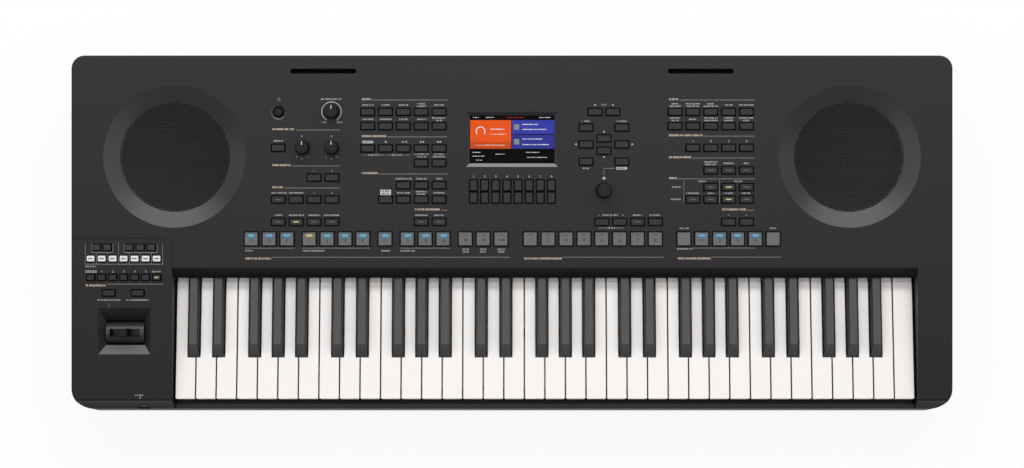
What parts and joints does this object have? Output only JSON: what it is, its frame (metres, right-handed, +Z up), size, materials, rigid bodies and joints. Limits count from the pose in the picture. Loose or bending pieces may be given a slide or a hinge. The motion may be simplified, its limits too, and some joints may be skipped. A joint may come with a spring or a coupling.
{
  "type": "arranger keyboard",
  "caption": "Wide black arranger keyboard with full-size keys, a sloped panel of button banks, knobs, a display and a joystick, and a round speaker at each end.",
  "frame": {"origin": "under the middle of the case, on the surface that the feet stand on", "axes": "+X to the player's right, +Y to the back, +Z up"},
  "size_m": [1.007, 0.4, 0.1401],
  "materials": {
    "case_black": "fine matt grain",
    "base_black": "matt",
    "foot_rubber": "matt",
    "screw_steel": "zinc",
    "bed_steel": "zinc sheet",
    "rod_steel": "drawn",
    "felt": "felt",
    "board": "solder mask",
    "dome_rubber": "matt",
    "switch_plastic": "matt",
    "pot_metal": "plated",
    "window": "clear",
    "screen": "gloss",
    "grille_metal": "matt",
    "basket_metal": "matt",
    "cone_paper": "pressed paper",
    "inner_plastic": "matt",
    "stick_black": "satin",
    "socket_black": "satin",
    "key_white": "gloss",
    "key_black": "satin",
    "pad_grey": "satin",
    "button_black": "satin",
    "knob_black": "satin"
  },
  "bodies": {
    "case": {"upper_case": "case_black", "left_end_panel": "case_black", "lower_case": "base_black", "rubber_feet": "foot_rubber", "case_screws": "screw_steel", "key_chassis": "bed_steel", "key_pivot_rod": "rod_steel", "key_stop_felts": "felt", "key_contact_board": "board", "key_contact_domes": "dome_rubber", "tact_switches": "switch_plastic", "knob_pots": "pot_metal", "panel_boards": "board", "display_window": "window", "display_panel": "screen", "speaker_grilles": "grille_metal", "speaker_baskets": "basket_metal", "speaker_cones": "cone_paper", "joystick_bracket": "inner_plastic", "rear_sockets": "socket_black", "phones_jack": "socket_black", "main_board": "board"},
    "keys_c": {"keys_c": "key_white"},
    "keys_d": {"keys_d": "key_white"},
    "keys_e": {"keys_e": "key_white"},
    "keys_f": {"keys_f": "key_white"},
    "keys_g": {"keys_g": "key_white"},
    "keys_a": {"keys_a": "key_white"},
    "keys_b": {"keys_b": "key_white"},
    "keys_c_sharp": {"keys_c_sharp": "key_black"},
    "keys_d_sharp": {"keys_d_sharp": "key_black"},
    "keys_f_sharp": {"keys_f_sharp": "key_black"},
    "keys_g_sharp": {"keys_g_sharp": "key_black"},
    "keys_a_sharp": {"keys_a_sharp": "key_black"},
    "transpose_and_assign_buttons": {"transpose_and_assign_buttons": "button_black"},
    "tempo_buttons": {"tempo_buttons": "button_black"},
    "accompaniment_buttons": {"accompaniment_buttons": "button_black"},
    "style_buttons": {"style_buttons": "button_black"},
    "song_buttons": {"song_buttons": "button_black"},
    "function_buttons": {"function_buttons": "button_black"},
    "navigation_buttons": {"navigation_buttons": "button_black"},
    "registration_bank_buttons": {"registration_bank_buttons": "button_black"},
    "voice_buttons": {"voice_buttons": "button_black"},
    "one_touch_buttons": {"one_touch_buttons": "button_black"},
    "effect_buttons": {"effect_buttons": "button_black"},
    "part_buttons": {"part_buttons": "button_black"},
    "display_buttons": {"display_buttons": "button_black"},
    "style_pads": {"style_pads": "pad_grey"},
    "registration_pads": {"registration_pads": "pad_grey"},
    "multi_pads": {"multi_pads": "pad_grey"},
    "scale_note_buttons": {"scale_note_buttons": "button_black"},
    "scale_memory_buttons": {"scale_memory_buttons": "button_black"},
    "hold_buttons": {"hold_buttons": "button_black"},
    "power_button": {"power_button": "button_black"},
    "volume_knob": {"volume_knob": "knob_black"},
    "live_knob_left": {"live_knob_left": "knob_black"},
    "live_knob_right": {"live_knob_right": "knob_black"},
    "data_dial": {"data_dial": "knob_black"},
    "joystick_barrel": {"joystick_barrel": "stick_black"},
    "joystick_stick": {"joystick_stick": "stick_black"}
  },
  "joints": [
    {"name": "keys_c_press", "type": "hinge", "parent": "case", "child": "keys_c", "pos_m": [0, 0.0168, 0.0695], "axis": [1, 0, 0], "range_deg": [0, 2.9], "stiffness_Nm_per_rad": 8, "springref_deg": -2.86},
    {"name": "keys_d_press", "type": "hinge", "parent": "case", "child": "keys_d", "pos_m": [0, 0.0168, 0.0695], "axis": [1, 0, 0], "range_deg": [0, 2.9], "stiffness_Nm_per_rad": 8, "springref_deg": -2.86},
    {"name": "keys_e_press", "type": "hinge", "parent": "case", "child": "keys_e", "pos_m": [0, 0.0168, 0.0695], "axis": [1, 0, 0], "range_deg": [0, 2.9], "stiffness_Nm_per_rad": 8, "springref_deg": -2.86},
    {"name": "keys_f_press", "type": "hinge", "parent": "case", "child": "keys_f", "pos_m": [0, 0.0168, 0.0695], "axis": [1, 0, 0], "range_deg": [0, 2.9], "stiffness_Nm_per_rad": 8, "springref_deg": -2.86},
    {"name": "keys_g_press", "type": "hinge", "parent": "case", "child": "keys_g", "pos_m": [0, 0.0168, 0.0695], "axis": [1, 0, 0], "range_deg": [0, 2.9], "stiffness_Nm_per_rad": 8, "springref_deg": -2.86},
    {"name": "keys_a_press", "type": "hinge", "parent": "case", "child": "keys_a", "pos_m": [0, 0.0168, 0.0695], "axis": [1, 0, 0], "range_deg": [0, 2.9], "stiffness_Nm_per_rad": 8, "springref_deg": -2.86},
    {"name": "keys_b_press", "type": "hinge", "parent": "case", "child": "keys_b", "pos_m": [0, 0.0168, 0.0695], "axis": [1, 0, 0], "range_deg": [0, 2.9], "stiffness_Nm_per_rad": 8, "springref_deg": -2.86},
    {"name": "keys_c_sharp_press", "type": "hinge", "parent": "case", "child": "keys_c_sharp", "pos_m": [0, 0.0168, 0.0695], "axis": [1, 0, 0], "range_deg": [0, 2.9], "stiffness_Nm_per_rad": 6, "springref_deg": -2.86},
    {"name": "keys_d_sharp_press", "type": "hinge", "parent": "case", "child": "keys_d_sharp", "pos_m": [0, 0.0168, 0.0695], "axis": [1, 0, 0], "range_deg": [0, 2.9], "stiffness_Nm_per_rad": 6, "springref_deg": -2.86},
    {"name": "keys_f_sharp_press", "type": "hinge", "parent": "case", "child": "keys_f_sharp", "pos_m": [0, 0.0168, 0.0695], "axis": [1, 0, 0], "range_deg": [0, 2.9], "stiffness_Nm_per_rad": 6, "springref_deg": -2.86},
    {"name": "keys_g_sharp_press", "type": "hinge", "parent": "case", "child": "keys_g_sharp", "pos_m": [0, 0.0168, 0.0695], "axis": [1, 0, 0], "range_deg": [0, 2.9], "stiffness_Nm_per_rad": 6, "springref_deg": -2.86},
    {"name": "keys_a_sharp_press", "type": "hinge", "parent": "case", "child": "keys_a_sharp", "pos_m": [0, 0.0168, 0.0695], "axis": [1, 0, 0], "range_deg": [0, 2.9], "stiffness_Nm_per_rad": 6, "springref_deg": -2.86},
    {"name": "transpose_and_assign_buttons_press", "type": "slide", "parent": "case", "child": "transpose_and_assign_buttons", "axis": [0, 0.1219, -0.9925], "range_m": [0, 0.0012], "stiffness_N_per_m": 1200, "springref_m": -0.002},
    {"name": "tempo_buttons_press", "type": "slide", "parent": "case", "child": "tempo_buttons", "axis": [0, 0.1219, -0.9925], "range_m": [0, 0.0012], "stiffness_N_per_m": 1600, "springref_m": -0.002},
    {"name": "accompaniment_buttons_press", "type": "slide", "parent": "case", "child": "accompaniment_buttons", "axis": [0, 0.1219, -0.9925], "range_m": [0, 0.0012], "stiffness_N_per_m": 1600, "springref_m": -0.002},
    {"name": "style_buttons_press", "type": "slide", "parent": "case", "child": "style_buttons", "axis": [0, 0.1219, -0.9925], "range_m": [0, 0.0012], "stiffness_N_per_m": 4000, "springref_m": -0.002},
    {"name": "song_buttons_press", "type": "slide", "parent": "case", "child": "song_buttons", "axis": [0, 0.1219, -0.9925], "range_m": [0, 0.0012], "stiffness_N_per_m": 2800, "springref_m": -0.002},
    {"name": "function_buttons_press", "type": "slide", "parent": "case", "child": "function_buttons", "axis": [0, 0.1219, -0.9925], "range_m": [0, 0.0012], "stiffness_N_per_m": 3600, "springref_m": -0.002},
    {"name": "navigation_buttons_press", "type": "slide", "parent": "case", "child": "navigation_buttons", "axis": [0, 0.1219, -0.9925], "range_m": [0, 0.0012], "stiffness_N_per_m": 4000, "springref_m": -0.002},
    {"name": "registration_bank_buttons_press", "type": "slide", "parent": "case", "child": "registration_bank_buttons", "axis": [0, 0.1219, -0.9925], "range_m": [0, 0.0012], "stiffness_N_per_m": 1600, "springref_m": -0.002},
    {"name": "voice_buttons_press", "type": "slide", "parent": "case", "child": "voice_buttons", "axis": [0, 0.1219, -0.9925], "range_m": [0, 0.0012], "stiffness_N_per_m": 4000, "springref_m": -0.002},
    {"name": "one_touch_buttons_press", "type": "slide", "parent": "case", "child": "one_touch_buttons", "axis": [0, 0.1219, -0.9925], "range_m": [0, 0.0012], "stiffness_N_per_m": 1600, "springref_m": -0.002},
    {"name": "effect_buttons_press", "type": "slide", "parent": "case", "child": "effect_buttons", "axis": [0, 0.1219, -0.9925], "range_m": [0, 0.0012], "stiffness_N_per_m": 1200, "springref_m": -0.002},
    {"name": "part_buttons_press", "type": "slide", "parent": "case", "child": "part_buttons", "axis": [0, 0.1219, -0.9925], "range_m": [0, 0.0012], "stiffness_N_per_m": 3600, "springref_m": -0.002},
    {"name": "display_buttons_press", "type": "slide", "parent": "case", "child": "display_buttons", "axis": [0, 0.1219, -0.9925], "range_m": [0, 0.0012], "stiffness_N_per_m": 6400, "springref_m": -0.002},
    {"name": "style_pads_press", "type": "slide", "parent": "case", "child": "style_pads", "axis": [0, 0.1219, -0.9925], "range_m": [0, 0.0012], "stiffness_N_per_m": 5600, "springref_m": -0.002},
    {"name": "registration_pads_press", "type": "slide", "parent": "case", "child": "registration_pads", "axis": [0, 0.1219, -0.9925], "range_m": [0, 0.0012], "stiffness_N_per_m": 3200, "springref_m": -0.002},
    {"name": "multi_pads_press", "type": "slide", "parent": "case", "child": "multi_pads", "axis": [0, 0.1219, -0.9925], "range_m": [0, 0.0012], "stiffness_N_per_m": 2400, "springref_m": -0.002},
    {"name": "scale_note_buttons_press", "type": "slide", "parent": "case", "child": "scale_note_buttons", "axis": [0, 0.1219, -0.9925], "range_m": [0, 0.0012], "stiffness_N_per_m": 4800, "springref_m": -0.002},
    {"name": "scale_memory_buttons_press", "type": "slide", "parent": "case", "child": "scale_memory_buttons", "axis": [0, 0.1219, -0.9925], "range_m": [0, 0.0012], "stiffness_N_per_m": 2800, "springref_m": -0.002},
    {"name": "hold_buttons_press", "type": "slide", "parent": "case", "child": "hold_buttons", "axis": [0, 0.1219, -0.9925], "range_m": [0, 0.0012], "stiffness_N_per_m": 800, "springref_m": -0.002},
    {"name": "power_button_press", "type": "slide", "parent": "case", "child": "power_button", "axis": [0, 0.1219, -0.9925], "range_m": [0, 0.0012], "stiffness_N_per_m": 400, "springref_m": -0.002},
    {"name": "volume_knob_turn", "type": "hinge", "parent": "case", "child": "volume_knob", "pos_m": [-0.20561, 0.13542, 0.12566], "axis": [0, -0.1219, 0.9925], "range_deg": [-145, 145]},
    {"name": "live_knob_left_turn", "type": "hinge", "parent": "case", "child": "live_knob_left", "pos_m": [-0.23911, 0.09469, 0.12066], "axis": [0, -0.1219, 0.9925], "range_deg": [-145, 145]},
    {"name": "live_knob_right_turn", "type": "hinge", "parent": "case", "child": "live_knob_right", "pos_m": [-0.20561, 0.09469, 0.12066], "axis": [0, -0.1219, 0.9925], "range_deg": [-145, 145]},
    {"name": "data_dial_turn", "type": "hinge", "parent": "case", "child": "data_dial", "pos_m": [0.10493, 0.04625, 0.11471], "axis": [0, -0.1219, 0.9925], "continuous": true},
    {"name": "joystick_rock", "type": "hinge", "parent": "case", "child": "joystick_barrel", "pos_m": [-0.44281, -0.11311, 0.07852], "axis": [1, 0, 0], "range_deg": [-20, 20], "stiffness_Nm_per_rad": 0.6},
    {"name": "joystick_tilt", "type": "hinge", "parent": "joystick_barrel", "child": "joystick_stick", "pos_m": [-0.44281, -0.11311, 0.07852], "axis": [0, 0.9925, 0.1219], "range_deg": [-20, 20], "stiffness_Nm_per_rad": 0.5}
  ]
}
